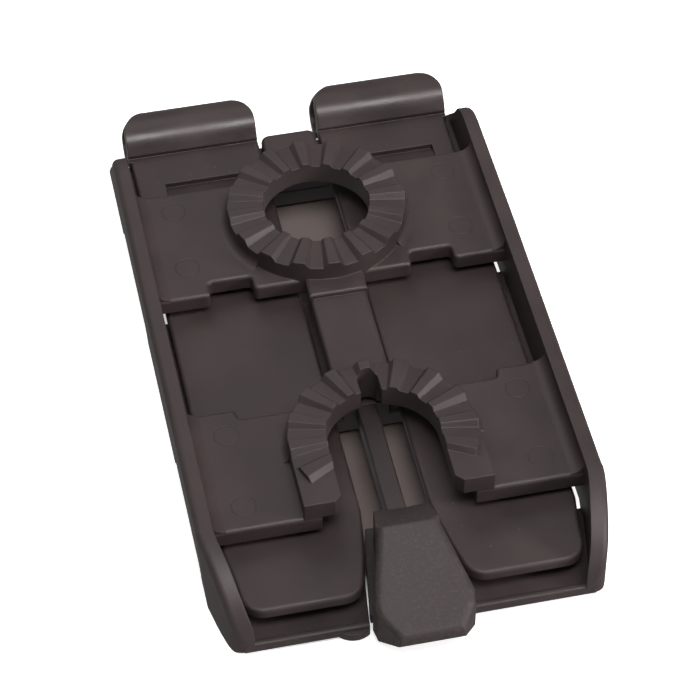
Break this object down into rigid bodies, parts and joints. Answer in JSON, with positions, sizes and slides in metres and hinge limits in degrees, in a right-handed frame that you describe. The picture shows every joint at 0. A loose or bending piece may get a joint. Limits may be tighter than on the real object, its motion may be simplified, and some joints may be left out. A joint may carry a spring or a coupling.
{
  "type": "webbing mount plate",
  "caption": "Flat polymer plate with a ring and an arch of face teeth on its front, rolled-head hook blades that slide behind webbing, and a sprung thumb latch.",
  "frame": {"origin": "middle of the overall footprint on the back plane, the plate lying on its back", "axes": "+Z out of the front face towards the rosettes, +Y along the plate towards the rolled hook heads, +X across it"},
  "size_m": [0.0722, 0.1382, 0.0165],
  "materials": {
    "frame_plastic": "fine spark-eroded mould texture, satin",
    "blade_plastic": "smooth satin, glossier on the rolled heads",
    "latch_plastic": "coarse grain on the thumb face, smooth on its bevels"
  },
  "bodies": {
    "root": {"frame": "frame_plastic"},
    "left_blade": {"blade_left": "blade_plastic"},
    "right_blade": {"blade_right": "blade_plastic"},
    "latch": {"latch_arm": "latch_plastic"}
  },
  "joints": [
    {"name": "blade_left_slide", "type": "slide", "parent": "root", "child": "left_blade", "axis": [0, 1, 0], "range_m": [0, 0.095]},
    {"name": "blade_right_slide", "type": "slide", "parent": "root", "child": "right_blade", "axis": [0, 1, 0], "range_m": [0, 0.095]},
    {"name": "latch_press", "type": "hinge", "parent": "root", "child": "latch", "pos_m": [0, -0.01575, 0.0056], "axis": [1, 0, 0], "range_deg": [0, 2.4], "stiffness_Nm_per_rad": 6, "springref_deg": -0.57}
  ]
}
